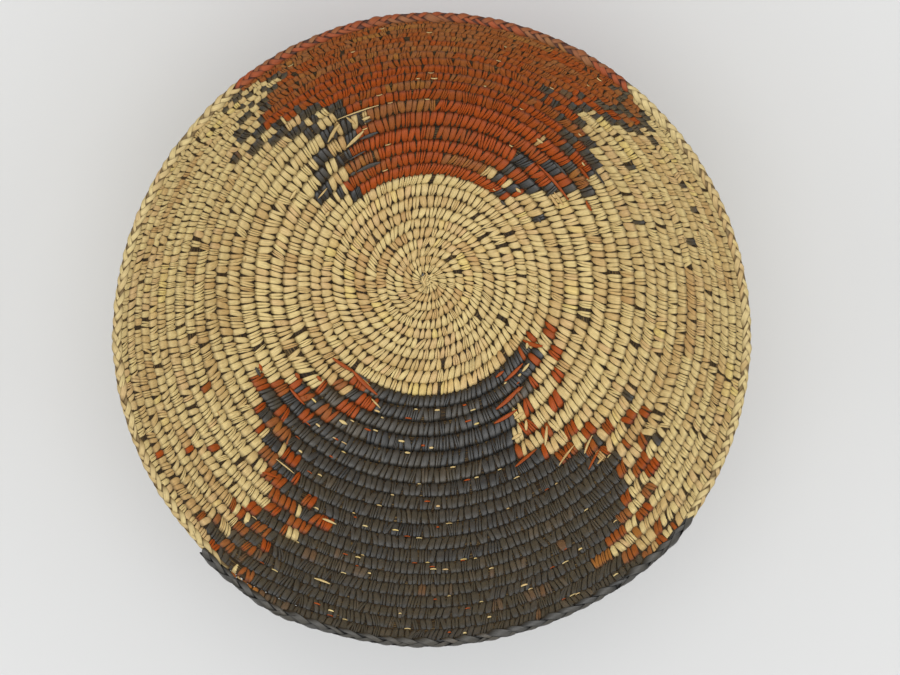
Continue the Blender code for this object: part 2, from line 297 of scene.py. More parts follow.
def radius_at(row):
    return np.interp(row, SPINE[0], SPINE[1])


def out_of_round(row, angle):
    """How far the upper wall stands out from a circle, at rows and angles."""
    outward = -rim_inset * np.ones_like(angle)
    for size, count, start in RIM_WAVES:
        outward = outward - size * np.cos(count * angle - math.radians(start))
    for degrees, width, size in RIM_SWELLS:
        away = (np.degrees(angle) - degrees + 180.0) % 360.0 - 180.0
        outward = outward + size * np.exp(-((away / width) ** 2))
    return outward * np.clip((row - UNEVEN_ROW) / (COIL_END - UNEVEN_ROW), 0.0, 1.0) ** UNEVEN_POWER


def around(angle):
    """Unit vectors out from the axis and along the spiral's way, clockwise, at angles."""
    zero = np.zeros_like(angle)
    out = np.stack([np.cos(angle), np.sin(angle), zero], -1)
    way = np.stack([np.sin(angle), -np.cos(angle), zero], -1)
    return out, way


def surface(row, angle):
    """The middle of the wall at row lines and angles, with its frame: along, across and inside."""
    slope = np.interp(row, SPINE[0], SPINE[3])
    raised = thinning_at(row)
    radius = radius_at(row) - raised * np.sin(slope) + out_of_round(row, angle)
    height = np.interp(row, SPINE[0], SPINE[2]) + full_half_thickness_at(row) + raised * np.cos(slope)
    out, way = around(angle)
    up = np.zeros_like(out)
    up[..., 2] = 1.0
    lean = slope[..., None]
    across = out * np.cos(lean) + up * np.sin(lean)
    inside = up * np.cos(lean) - out * np.sin(lean)
    place = out * radius[..., None] + up * height[..., None]
    place[..., 0] += CENTRE.x
    place[..., 1] += CENTRE.y
    return place, way, across, inside


def angle_of(turn):
    return FIRST_ANGLE - FULL_CIRCLE * turn


def turn_at(row, degrees):
    """The turn of a place in a row of the spiral, counted from 1, at an angle in degrees."""
    return row - 1.0 + ((math.degrees(FIRST_ANGLE) - degrees) / 360.0) % 1.0


def line_at(turn):
    """The row line of a turn, with the small wavers of handwork."""
    wavers = sum(size * np.sin(FULL_CIRCLE * waves * turn + start) for size, waves, start in WAVERS)
    return turn + wavers


def eased(share):
    """A share that starts and ends gently."""
    share = np.clip(share, 0.0, 1.0)
    return share**2 * (3.0 - 2.0 * share)


def outer_line(turn):
    """The outer row line of the row at a turn. The last row runs out at its end."""
    back = eased((turn - (COIL_END - TAPER_TURNS)) / TAPER_TURNS)
    return line_at(turn + 1.0) - (1.0 - TAPER_LEFT) * back


def bulge_at(turn):
    """How far the last row's end stands out from the wall: it lies on the row below, not in line."""
    return end_bulge * eased((turn - (COIL_END - BULGE_TURNS)) / BULGE_RISE_TURNS)


def row_at(turn):
    """The middle of the row at a turn, as a row line, and how many rows wide it is."""
    inner, outer = line_at(turn), outer_line(turn)
    return (inner + outer) / 2.0, outer - inner


def wall_at(row, turn):
    """The same as surface, at the angle of a turn and with the bulge of the coil's end."""
    centre, way, across, inside = surface(row, angle_of(turn))
    return centre - inside * bulge_at(turn)[..., None], way, across, inside


def height_share(share):
    """The rise of a stitch's upper path, at a share of the pitch across the row."""
    return np.interp(share, path_across_shares[::-1], path_up_shares[::-1])


def unit(vectors):
    return vectors / np.maximum(np.linalg.norm(vectors, axis=-1, keepdims=True), LEAST_LENGTH)


def grid_of(count, tall):
    """Columns and rows of cells that fill a square, each tall times as high as wide."""
    columns = max(1, math.ceil(math.sqrt(count * tall)))
    return columns, math.ceil(count / columns)


def make_bands(name, place, side, out, width, closed, tone, shade, look):
    """Flat splints as one mesh: bands x stations of places, with the ways sideways and outwards.

    A section has five points over the crown and one below. A closed band joins end to start, and an
    open one has a cap at each end. tone is one value a band, and shade one a station.
    """
    bands, stations = place.shape[:2]
    shares = np.array(section_shares)
    lateral = shares[None, None, :] * width[..., None] / 2.0
    lift = np.broadcast_to(splint_crown * (1.0 - np.abs(shares) ** CROWN_POWER), lateral.shape)
    top = place[:, :, None] + side[:, :, None] * lateral[..., None] + out[:, :, None] * lift[..., None]
    under = place - out * splint_thickness
    points = np.concatenate([top, under[:, :, None]], 2)
    points[..., 2] = np.maximum(points[..., 2], 0.0)
    ring = points.shape[2]
    index = np.arange(bands * stations * ring).reshape(bands, stations, ring)
    following = np.roll(index, -1, 1) if closed else index[:, 1:]
    index_here = index if closed else index[:, :-1]
    quads = np.stack(
        [index_here, np.roll(index_here, -1, 2), np.roll(following, -1, 2), following], -1
    ).reshape(-1, 4)
    steps = index_here.shape[1]
    data = bpy.data.meshes.new(name)
    faces = quads.tolist()
    if not closed:
        faces += index[:, 0, ::-1].tolist() + index[:, -1].tolist()
    data.from_pydata(points.reshape(-1, 3).tolist(), [], faces)
    add_maps(data, bands, steps, ring, place, lateral, closed)
    add_values(data, "tone", np.repeat(tone, stations * ring))
    # The shade attribute is painted shade, darkest at the bands' side edges and underside
    add_values(data, "shade", np.minimum(shade[..., None] + np.array(painted_edge_shades), 1.0).reshape(-1))
    return add_piece(name, data, look)


def add_object(name, data):
    """An object in the scene, from its mesh, light or camera."""
    made = bpy.data.objects.new(name, data)
    bpy.context.scene.collection.objects.link(made)
    return made


def add_piece(name, data, look):
    """A smooth piece in the scene, from its mesh."""
    data.polygons.foreach_set("use_smooth", np.ones(len(data.polygons), bool))
    data.materials.append(look)
    data.update()
    return add_object(name, data)


def add_map(data, name, places):
    """A map of the mesh: the first corners have a place on it, and the caps' corners lie at zero."""
    values = np.zeros((len(data.loops), 2), np.float32)
    flat = places.reshape(-1, 2)
    values[: len(flat)] = flat
    data.uv_layers.new(name=name).data.foreach_set("uv", values.reshape(-1))


def add_values(data, name, values):
    layer = data.attributes.new(name, "FLOAT", "POINT")
    layer.data.foreach_set("value", values.astype(np.float32))


CELL_TALL = 8.0  # a cell of the atlas is so many times as high as wide
CELL_MARGIN = 0.06  # of a cell's width, left free round it
FIBRE_SPREAD = 400.0  # in mm, over which the splints are scattered on the fibre map


def add_maps(data, bands, steps, ring, place, lateral, closed):
    """An atlas with a cell for each band, and a map in millimetres along and across the fibres."""
    columns, lines = grid_of(bands, CELL_TALL)
    band = np.arange(bands)
    step = np.arange(steps)
    part = np.arange(ring)
    corner_part = np.array([0, 1, 1, 0])
    corner_step = np.array([0, 0, 1, 1])
    across = (part[:, None] + corner_part[None]) / ring
    along = (step[:, None] + corner_step[None]) / steps
    u = (band % columns)[:, None, None, None] + CELL_MARGIN + (1 - 2 * CELL_MARGIN) * across[None, None]
    v_margin = CELL_MARGIN / CELL_TALL
    v = (band // columns)[:, None, None, None] + v_margin + (1 - 2 * v_margin) * along[None, :, None]
    shape = (bands, steps, ring, 4)
    atlas = np.stack([np.broadcast_to(u / columns, shape), np.broadcast_to(v / lines, shape)], -1)
    stride = np.linalg.norm(np.diff(place, axis=1, append=place[:, :1]), axis=-1)
    travelled = np.concatenate([np.zeros((bands, 1)), np.cumsum(stride, 1)], 1)[:, : steps + 1]
    sides = np.concatenate([lateral, np.zeros_like(lateral[:, :, :1])], 2)
    if closed:
        sides = np.concatenate([sides, sides[:, :1]], 1)
    seed = dice.uniform(0.0, FIBRE_SPREAD, (bands, 1, 1, 1))
    step_index = (step[:, None] + corner_step[None])[:, None, :]
    part_index = (part[:, None] + corner_part[None]) % ring
    fibre_u = MM * sides[:, step_index, part_index[None]] + seed
    fibre_v = MM * travelled[:, step_index + 0 * part_index[None]] + seed
    add_map(data, "fibre", np.stack([fibre_u, fibre_v], -1))
    add_map(data, "OFBake", atlas)


def new_material(name):
    """A material with its node tree and its shader."""
    made = bpy.data.materials.new(name)
    made.use_nodes = True
    return made, made.node_tree, made.node_tree.nodes["Principled BSDF"]


def ramp_node(tree, stops, factor):
    """The colour of a ramp at a factor."""
    ramp = tree.nodes.new("ShaderNodeValToRGB")
    elements = ramp.color_ramp.elements
    while len(elements) > 1:
        elements.remove(elements[-1])
    for place, colour in stops:
        element = elements[0] if place == stops[0][0] else elements.new(place)
        element.position = place
        element.color = (*colour, 1.0)
    tree.links.new(factor, ramp.inputs["Fac"])
    return ramp.outputs["Color"]


def noise_node(tree, stretch, scale, detail):
    """Noise over the fibre map, stretched along the fibres."""
    fibre = tree.nodes.new("ShaderNodeUVMap")
    fibre.uv_map = "fibre"
    mapping = tree.nodes.new("ShaderNodeMapping")
    mapping.inputs["Scale"].default_value = (*stretch, 1.0)
    noise = tree.nodes.new("ShaderNodeTexNoise")
    noise.inputs["Scale"].default_value = scale
    noise.inputs["Detail"].default_value = detail
    tree.links.new(fibre.outputs["UV"], mapping.inputs["Vector"])
    tree.links.new(mapping.outputs["Vector"], noise.inputs["Vector"])
    return noise.outputs["Fac"]


def add_relief(tree, height, strength, distance):
    relief = tree.nodes.new("ShaderNodeBump")
    relief.inputs["Strength"].default_value = strength
    relief.inputs["Distance"].default_value = distance
    tree.links.new(height, relief.inputs["Height"])
    tree.links.new(relief.outputs["Normal"], tree.nodes["Principled BSDF"].inputs["Normal"])


def value_node(tree, name):
    node = tree.nodes.new("ShaderNodeAttribute")
    node.attribute_name = name
    return node.outputs["Fac"]


# Streaks and blotches over the fibre map, across and along the fibres
STREAK_STRETCH = (4.6, 0.20)
BLOTCH_STRETCH = (0.9, 0.3)
BLOTCH_STOPS = ((0.30, (0.88, 0.86, 0.82)), (0.62, (1.04, 1.04, 1.05)))
STREAK_MIDDLE = 0.52
STREAK_LIGHT = 1.12
DULLER = 0.12
GLOSSIER = 0.08
splint_relief = 0.0002
GRASS_STRETCH = (3.0, 0.08)
# Straw colours of the grass, darkened so that the bundle also stands for the shade seen in the gaps:
# partly its own colour, partly painted shade
GRASS_AND_SHADE_STOPS = ((0.38, srgb(24, 17, 8)), (0.56, srgb(62, 47, 24)), (0.74, srgb(150, 124, 74)))
GRASS_ROUGHNESS = 0.75
grass_relief = 0.0004


def splint_material(name, stops, painted_shade_colour, roughness, streak, bump):
    """Dry splint: a colour for each stitch's tone, streaks along its fibres, and painted shade at its
    ends and edges.
    """
    made, tree, shader = new_material(name)
    nodes, links = tree.nodes, tree.links
    streaks = noise_node(tree, STREAK_STRETCH, scale=1.0, detail=3.0)
    blotches = noise_node(tree, BLOTCH_STRETCH, scale=0.8, detail=2.0)
    streak_stops = ((0.30, (streak,) * 3), (STREAK_MIDDLE, (1.0,) * 3), (0.75, (STREAK_LIGHT,) * 3))
    colour = ramp_node(tree, stops, value_node(tree, "tone"))
    for factor, shades in ((streaks, streak_stops), (blotches, BLOTCH_STOPS)):
        mix = nodes.new("ShaderNodeMix")
        mix.data_type = "RGBA"
        mix.blend_type = "MULTIPLY"
        mix.inputs["Factor"].default_value = 1.0
        links.new(colour, mix.inputs["A"])
        links.new(ramp_node(tree, shades, factor), mix.inputs["B"])
        colour = mix.outputs["Result"]
    # Painted shade: the shade attribute mixes a dark colour in at the stitches' ends and edges
    painted_shade_mix = nodes.new("ShaderNodeMix")
    painted_shade_mix.data_type = "RGBA"
    painted_shade_mix.inputs["B"].default_value = (*painted_shade_colour, 1.0)
    links.new(value_node(tree, "shade"), painted_shade_mix.inputs["Factor"])
    links.new(colour, painted_shade_mix.inputs["A"])
    links.new(painted_shade_mix.outputs["Result"], shader.inputs["Base Color"])
    rough = nodes.new("ShaderNodeMapRange")
    rough.inputs["To Min"].default_value = roughness + DULLER
    rough.inputs["To Max"].default_value = roughness - GLOSSIER
    links.new(streaks, rough.inputs["Value"])
    links.new(rough.outputs["Result"], shader.inputs["Roughness"])
    add_relief(tree, streaks, bump, splint_relief)
    return made


def grass_material():
    """The bundle of dry grass, coloured darker than its straw so that it also paints the shade in the
    gaps between the stitches.
    """
    made, tree, shader = new_material("grass")
    stems = noise_node(tree, GRASS_STRETCH, scale=1.0, detail=4.0)
    tree.links.new(ramp_node(tree, GRASS_AND_SHADE_STOPS, stems), shader.inputs["Base Color"])
    shader.inputs["Roughness"].default_value = GRASS_ROUGHNESS
    add_relief(tree, stems, strength=0.8, distance=grass_relief)
    return made


LOOKS = {
    "natural": splint_material(
        "natural",
        (
            (0.0, srgb(208, 170, 112)), (0.2, srgb(222, 192, 130)), (0.42, srgb(234, 210, 148)),
            (0.66, srgb(240, 218, 152)), (0.84, srgb(228, 194, 138)), (1.0, srgb(242, 218, 138)),
        ),
        painted_shade_colour=srgb(84, 60, 24), roughness=0.62, streak=0.76, bump=0.35,
    ),
    "rust": splint_material(
        "rust",
        (
            (0.0, srgb(184, 82, 4)), (0.3, srgb(172, 78, 10)), (0.6, srgb(164, 90, 34)),
            (0.85, srgb(162, 102, 56)), (1.0, srgb(174, 114, 50)),
        ),
        painted_shade_colour=srgb(36, 14, 4), roughness=0.60, streak=0.64, bump=0.35,
    ),
    "charcoal": splint_material(
        "charcoal",
        (
            (0.0, srgb(68, 70, 71)), (0.35, srgb(81, 79, 74)), (0.7, srgb(80, 76, 66)),
            (0.9, srgb(100, 92, 80)), (1.0, srgb(118, 90, 66)),
        ),
        painted_shade_colour=srgb(6, 5, 4), roughness=0.34, streak=0.58, bump=0.45,
    ),
    "grass": grass_material(),
}


def parted(runs, angle):
    """The colour at an angle in a list of colours and the angles that part them."""
    for colour, end in zip(runs[::2], runs[1::2]):
        if angle < end:
            return colour
    return runs[-1]


def field_and_colour(turn):
    """The field of a stitch, and its colour: the field's own, or a stripe's in a border band."""
    row = int(turn) + 1
    if row <= CENTRE_ROWS:
        return "natural_centre", "natural"
    angle = math.degrees(angle_of(turn)) % 360.0
    right, left = UPPER_RIGHT[row], UPPER_LEFT[row]
    low_left, low_right = LOWER_LEFT[row], LOWER_RIGHT[row]
    if angle < right[1] or angle >= low_right[-2]:
        return "natural_right", "natural"
    if angle < left[-2]:
        return "rust", parted(right, angle) if angle < right[-2] else parted(left, angle)
    if angle < low_left[1]:
        return "natural_left", "natural"
    return "charcoal", parted(low_left, angle) if angle < low_left[-2] else parted(low_right, angle)


# The tone of a splint: dye fades over some rows, and a few dyed splints have turned brown
NATURAL_EVENNESS = 2.2
FADE_ROWS = (12.0, 28.0)
FRESH_TONE = 0.10
FADING = 0.55
RUN_TONE_SPREAD = 0.15
TONE_SPREAD = 0.08
STRAND_TONE_SPREAD = 0.04
BROWN_RUNS = 0.07
BROWN_TONES = (0.75, 0.95)


def tone_of_run(colour, row):
    """The tone of one splint, which wraps a run of stitches."""
    if colour == "natural":
        return float(dice.beta(NATURAL_EVENNESS, NATURAL_EVENNESS))
    faded = np.clip((row - FADE_ROWS[0]) / (FADE_ROWS[1] - FADE_ROWS[0]), 0.0, 1.0)
    if dice.random() < BROWN_RUNS:
        return float(dice.uniform(*BROWN_TONES))
    return float(np.clip(dice.normal(FRESH_TONE + FADING * faded, RUN_TONE_SPREAD), 0.0, 1.0))


# How often a stitch is split, and by colour, how often it has bare grass after it or a pale fleck on it
SPLIT_TWO = 0.22
SPLIT_THREE = 0.07
BARE = {"natural": 0.026, "rust": 0.010, "charcoal": 0.010}
FLECK = {"natural": 0.010, "rust": 0.030, "charcoal": 0.07}
FIRST_BARE_ROW = 4.0
bare_length = 0.0012
BARE_SPREAD = (0.5, 1.6)

# Runs of stitches, their widths, and how they lean along the row as they cross it
RUN_STITCHES = (4, 15)
WIDTH_SPREAD = 0.20
WIDTH_LIMITS = (0.6, 1.6)
LEAN_ROWS = (1, 8, 20)
leans = (0.25, 0.28, 0.07)
LEAN_SPREAD = 0.09
STRAND_LEAN_SPREAD = 0.035
END_TURNS = 0.003  # before the coil's end, where the stitches stop

Stitch = namedtuple("Stitch", "turn width field colour tone lean strands")


def lay_out_stitches():
    """Every stitch along the spiral, from the centre out."""
    stitches = []
    strays = {turn_at(*place): colour for place, colour in STRAY_STITCHES.items()}
    turn = START_TURN
    run_left = 0
    run_tone = 0.5
    run_lean = 0.0
    last_colour = None
    while turn < COIL_END - END_TURNS:
        row = turn + 1.0
        length_round = FULL_CIRCLE * float(radius_at(turn + 0.5))
        table = widths_natural if field_and_colour(turn)[1] == "natural" else widths_dyed
        width = float(np.interp(row, WIDTH_ROWS, table))
        width *= float(np.clip(dice.normal(1.0, WIDTH_SPREAD), *WIDTH_LIMITS))
        span = width / length_round
        field, colour = field_and_colour(turn + span / 2.0)
        if run_left <= 0 or colour != last_colour:
            run_left = int(dice.integers(*RUN_STITCHES))
            run_tone = tone_of_run(colour, row)
            run_lean = float(dice.normal(0.0, LEAN_SPREAD))
        run_left -= 1
        last_colour = colour
        tone = float(np.clip(run_tone + dice.normal(0.0, TONE_SPREAD), 0.0, 1.0))
        lean = float(np.interp(row, LEAN_ROWS, leans)) + run_lean + float(dice.normal(0.0, LEAN_SPREAD))
        chance = dice.random()
        strands = 3 if chance < SPLIT_THREE else 2 if chance < SPLIT_THREE + SPLIT_TWO else 1
        shown = colour
        for stray, stray_colour in strays.items():
            if turn <= stray < turn + span:
                shown = stray_colour
        stitches.append(Stitch(turn + span / 2.0, width, field, shown, tone, lean, strands))
        turn += span
        if row > FIRST_BARE_ROW and dice.random() < BARE[colour]:
            turn += bare_length * float(dice.uniform(*BARE_SPREAD)) / length_round
    return stitches


def column(stitches, name):
    return np.array([getattr(stitch, name) for stitch in stitches])


# The handwork in a stitch, with tighter gaps near the centre. Places are shares of the pitch
GAP_SPREAD = (0.2, 2.4)
GAP_TURNS = (3.0, 12.0)
GAP_SHARES = (0.5, 1.0)
RISE_SPREAD = (0.92, 1.0)
REACH_SPREAD = 0.07
SHIFT_SPREAD = 0.022
TIP_SHARES = (0.10, 0.62)
TIP_EASES = (0.6, 1.5)
OUTER_TAPER_START = 0.3
OUTER_TAPER_LENGTH = 0.2
FAN_LIMITS = (0.3, 1.6)
ROLL = 0.07
ROLL_SPREAD = 0.08

# Painted shade at a stitch's two ends, where it dives into the seams between rows, less near the centre
INNER_SHADE_START = -0.26
INNER_SHADE_LENGTH = 0.22
OUTER_SHADE_START = 0.36
OUTER_SHADE_LENGTH = 0.12
SHADE_TURNS = (4.0, 14.0)
SHADE_SHARES = (0.45, 1.0)


def make_stitches(name, stitches, look):
    """The splint bands of some stitches, each wrapped once round its own row's bundle."""
    strands = column(stitches, "strands")
    owner = np.repeat(np.arange(len(stitches)), strands)
    count = len(owner)
    place_in = np.concatenate([np.arange(parts) - (parts - 1) / 2.0 for parts in strands])
    turn = column(stitches, "turn")[owner]
    gaps = gap_between * dice.uniform(*GAP_SPREAD, len(stitches))
    gaps = gaps * np.interp(column(stitches, "turn"), GAP_TURNS, GAP_SHARES)
    whole = (column(stitches, "width") - gaps)[owner]
    strand_width = whole / strands[owner] - strand_gap * (strands[owner] > 1)
    aside = place_in * whole / strands[owner]
    tone = column(stitches, "tone")[owner] + dice.normal(0.0, STRAND_TONE_SPREAD, count)
    middle_row, row_width = row_at(turn)
    pitch = pitch_at(turn + 0.5) * row_width
    centre, way, across, inside = wall_at(middle_row, turn)
    rise = (half_thickness_at(turn + 0.5) - splint_crown) * dice.uniform(*RISE_SPREAD, count)
    lean = column(stitches, "lean")[owner] + dice.normal(0.0, STRAND_LEAN_SPREAD, count)
    top_across = np.array(path_across_shares)
    top_up = np.array(path_up_shares)
    across_share = np.concatenate([top_across, top_across[::-1]])
    up_share = np.concatenate([top_up, -top_up[::-1]])
    reach = dice.normal(1.0, REACH_SPREAD, count)[:, None]
    shift = dice.normal(0.0, SHIFT_SPREAD, count)[:, None]
    s = pitch[:, None] * (across_share[None] * np.where(across_share < 0.0, reach, 1.0) + shift)
    h = rise[:, None] * up_share[None]
    tip_share = dice.uniform(*TIP_SHARES, count)[:, None]
    ease = dice.uniform(*TIP_EASES, count)[:, None]
    inward = (taper_place_share - across_share) / (taper_place_share - tip_place_share)
    inward = np.clip(inward, 0.0, 1.0)[None]
    outward = np.clip((across_share - OUTER_TAPER_START) / OUTER_TAPER_LENGTH, 0.0, 1.0)[None]
    narrow = (1.0 - (1.0 - tip_share) * inward**ease) * (1.0 - (1.0 - outer_width_share) * outward)
    fan = np.clip(1.0 + s / radius_at(middle_row)[:, None], *FAN_LIMITS)
    along = lean[:, None] * s + aside[:, None] * narrow * fan
    place = (
        centre[:, None]
        + across[:, None] * s[..., None]
        + inside[:, None] * h[..., None]
        + way[:, None] * along[..., None]
    )
    onward_s = np.roll(s, -1, 1) - np.roll(s, 1, 1)
    onward_h = np.roll(h, -1, 1) - np.roll(h, 1, 1)
    out = unit(across[:, None] * onward_h[..., None] - inside[:, None] * onward_s[..., None])
    roll = dice.normal(ROLL, ROLL_SPREAD, count)[:, None] * (up_share > 0.0)[None]
    side = unit(way[:, None] + out * roll[..., None])
    widths = strand_width[:, None] * narrow * fan
    # Painted shade where the stitch dives into the seams at the row's inner and outer edges
    shade = painted_inner_shade * np.clip((INNER_SHADE_START - across_share) / INNER_SHADE_LENGTH, 0.0, 1.0)
    shade += painted_outer_shade * np.clip((across_share - OUTER_SHADE_START) / OUTER_SHADE_LENGTH, 0.0, 1.0)
    shade = np.interp(turn, SHADE_TURNS, SHADE_SHARES)[:, None] * shade[None]
    return make_bands(name, place, side, out, widths, True, np.clip(tone, 0.0, 1.0), shade, look)


# Flecks: how many lie low on the row, where they lie across it, and their size and form
LOW_FLECKS = 0.6
LOW_FLECK_PLACES = (-0.44, -0.22)
HIGH_FLECK_PLACES = (-0.1, 0.42)
fleck_half_lengths = (0.0006, 0.0015)
fleck_widths = (0.0005, 0.0011)
fleck_lift = 0.00005
fleck_arch = 0.00022
FLECK_STATIONS = 5
FLECK_TAPER = 0.35
FLECK_TILT = 0.9
PALE_FLECK_TONES = (0.3, 1.0)
NATURAL_FLECK_TONES = (0.0, 0.25)
RUST_FLECK_TONES = (0.0, 0.4)
RUST_FLECK_STEP = 2  # on charcoal, a rust fleck for every second pale one, a little further on
RUST_FLECK_SHIFT = 0.008


def make_flecks(name, stitches, tone_range, look):
    """Short ends of splint that lie along the row over the seams between stitches."""
    turn = column(stitches, "turn")
    count = len(turn)
    middle_row, row_width = row_at(turn)
    low = dice.random(count) < LOW_FLECKS
    share = np.where(low, dice.uniform(*LOW_FLECK_PLACES, count), dice.uniform(*HIGH_FLECK_PLACES, count))
    row = middle_row + share * row_width
    half_length = dice.uniform(*fleck_half_lengths, count)
    stations = np.linspace(-1.0, 1.0, FLECK_STATIONS)
    angle = angle_of(turn)[:, None] - stations[None] * (half_length / radius_at(row))[:, None]
    rows = np.broadcast_to(row[:, None], angle.shape)
    centre, way, across, inside = surface(rows, angle)
    arch = fleck_arch * (1.0 - stations[None] ** 2)
    lift = half_thickness_at(rows) * height_share(share)[:, None] + fleck_lift + arch
    place = centre + inside * lift[..., None]
    out = unit(inside + across * (FLECK_TILT * share)[:, None, None])
    side = unit(np.cross(out, way))
    widths = dice.uniform(*fleck_widths, count)[:, None] * (1.0 - FLECK_TAPER * stations[None] ** 2)
    tone = dice.uniform(*tone_range, count)
    return make_bands(name, place, side, out, widths, False, tone, np.zeros(widths.shape), look)


def boxy(wave):
    """A sine or cosine, squared up a little towards a box."""
    return np.sign(wave) * np.abs(wave) ** BOXINESS


def make_foundation():
    """The grass bundle that the stitches wrap, ribbed with its stems and flattened in its row."""
    turn = np.arange(1, int(COIL_END * BUNDLE_STEPS) + 1) / BUNDLE_STEPS
    middle_row, row_width = row_at(turn)
    centre, _, across, inside = wall_at(middle_row, turn)
    half_width = bundle_width_share * pitch_at(turn + 0.5) * row_width
    half_height = half_thickness_at(turn + 0.5) - bundle_spare
    swing = FULL_CIRCLE * np.arange(BUNDLE_SIDES) / BUNDLE_SIDES
    ribs = 1.0 - BUNDLE_RIB * (np.arange(BUNDLE_SIDES) % 2)
    wave_across = boxy(np.cos(swing)) * ribs
    wave_up = boxy(np.sin(swing)) * ribs
    points = (
        centre[:, None]
        + across[:, None] * (half_width[:, None] * wave_across[None])[..., None]
        + inside[:, None] * (half_height[:, None] * wave_up[None])[..., None]
    )
    index = np.arange(len(turn) * BUNDLE_SIDES).reshape(-1, BUNDLE_SIDES)
    here, there = index[:-1], index[1:]
    quads = np.stack([here, there, np.roll(there, -1, 1), np.roll(here, -1, 1)], -1).reshape(-1, 4)
    data = bpy.data.meshes.new("foundation_bundle")
    faces = quads.tolist() + [index[0].tolist(), index[-1, ::-1].tolist()]
    data.from_pydata(points.reshape(-1, 3).tolist(), [], faces)
    stride = np.linalg.norm(np.diff(centre, axis=0), axis=-1)
    travelled = np.concatenate([[0.0], np.cumsum(stride)]) * MM
    line = np.arange(len(turn) - 1)[:, None, None] + np.array([0, 1, 1, 0])
    part = np.arange(BUNDLE_SIDES)[None, :, None] + np.array([0, 0, 1, 1])
    fibre = np.broadcast_arrays(part * BUNDLE_SIDE_MM, travelled[line])
    add_map(data, "fibre", np.stack(fibre, -1))
    return add_piece("foundation_bundle", data, LOOKS["grass"])


# The braid on the rim: each chevron has a leg to the inside and one to the outside
LEG_STEPS = 9
LEG_START = math.radians(-34.0)
LEG_END = math.radians(108.0)
LEG_EASE = 0.9
LEG_PLACE_SPREAD = 0.11
LEG_REACH_SPREAD = 0.12
LEG_WIDTH_SPREAD = 0.20
LEG_LIFT_SPREAD = (0.7, 1.5)
LEG_LIFT_SPEED = 1.25
LEG_WIDTHS = ((0.0, 0.3, 0.75, 1.0), (0.75, 1.0, 0.95, 0.45))
# Painted shade along a leg: dark where it tucks in at each end, lighter over the crest
LEG_SHADES = ((0.0, 0.25, 0.7, 1.0), (0.9, 0.32, 0.42, 0.95))
LEG_RUN = 6  # legs of one splint, with one tone
LEG_TONES = (0.15, 0.8)
LEG_TONE_SPREAD = 0.1
LAST_LEG_TURNS = 0.0015  # past the run's end, where its last legs stop
leg_advance_share = 1.5  # of a chevron's length
leg_sink = 0.0002
braid_height = 0.0012
braid_spare = 0.0001
braid_over = 0.00030

# The strands under the legs: a flat one on the crest and an upright one below it
CORE_STEPS = 240
CORE_TONE = 0.4
# Painted shade on the core strands, so that the slits between the legs read dark
CORE_SHADE = 0.8
core_width_share = 1.9
core_height = 0.0006
core_depth = 0.0030


def make_braid(name, first, last, chevron, splint, look):
    """A plaited edge over the last row: slanting splints that cross on the crest and tuck in below."""
    length = FULL_CIRCLE * float(radius_at(first + 1.0)) * (last - first)
    count = round(length / chevron)
    share = np.linspace(0.0, 1.0, LEG_STEPS)
    places, outs, sides, widths = [], [], [], []
    for hand in (1.0, -1.0):
        spots = np.arange(count) + 0.25 + 0.25 * hand + dice.normal(0.0, LEG_PLACE_SPREAD, count)
        start = first + spots / count * (last - first)
        reach = leg_advance_share * chevron * dice.normal(1.0, LEG_REACH_SPREAD, count)
        radius = radius_at(start + 1.0)
        turn = start[:, None] + reach[:, None] * share[None] / (FULL_CIRCLE * radius[:, None])
        turn = np.minimum(turn, last + LAST_LEG_TURNS * (1.0 + share[None]))
        base = outer_line(turn)
        centre, _, across, inside = wall_at(base, turn)
        swing = hand * (LEG_START + (LEG_END - LEG_START) * share[None] ** LEG_EASE) + 0.0 * turn
        lifted = braid_over * np.sin(math.pi * np.clip(share * LEG_LIFT_SPEED, 0.0, 1.0))[None] - leg_sink
        lifted = lifted * dice.uniform(*LEG_LIFT_SPREAD, count)[:, None]
        depth = half_thickness_at(base) + braid_spare
        place = (
            centre
            + inside * ((depth + lifted) * np.sin(swing))[..., None]
            + across * ((braid_height + lifted) * np.cos(swing))[..., None]
        )
        outward = inside * (np.sin(swing) / depth)[..., None]
        out = unit(outward + across * (np.cos(swing) / braid_height)[..., None])
        onward = unit(np.gradient(place, axis=1))
        places.append(place)
        outs.append(out)
        sides.append(unit(np.cross(out, onward)))
        width = splint * dice.normal(1.0, LEG_WIDTH_SPREAD, count)[:, None]
        widths.append(width * np.interp(share, *LEG_WIDTHS)[None])
    place = np.concatenate(places)
    run_tones = dice.uniform(*LEG_TONES, len(place) // LEG_RUN + 1)
    tone = np.repeat(run_tones, LEG_RUN)[: len(place)] + dice.normal(0.0, LEG_TONE_SPREAD, len(place))
    tone = np.clip(tone, 0.0, 1.0)
    shade = np.broadcast_to(np.interp(share, *LEG_SHADES), place.shape[:2])
    side, out, width = (np.concatenate(parts) for parts in (sides, outs, widths))
    return make_bands(name, place, side, out, width, False, tone, shade, look)


def make_core(name, first, last, look):
    """The strands that run along the crest under the crossing splints: one flat, one upright."""
    turn = np.linspace(first, last, round(CORE_STEPS * (last - first)))
    base = outer_line(turn)
    centre, _, across, inside = wall_at(base, turn)
    place = np.stack((centre + across * core_height, centre - across * core_height))
    side = np.stack((inside, across))
    out = np.stack((across, inside))
    widths = np.stack((core_width_share * half_thickness_at(base), np.full(len(turn), core_depth)))
    shade = np.full((2, len(turn)), CORE_SHADE)
    return make_bands(name, place, side, out, widths, False, np.full(2, CORE_TONE), shade, look)


STRIP_STEPS = 14
STRIP_ENDS = (0.25, 2.75)  # of the half wave that its width follows
STRIP_LEAST_WIDTH = 0.35


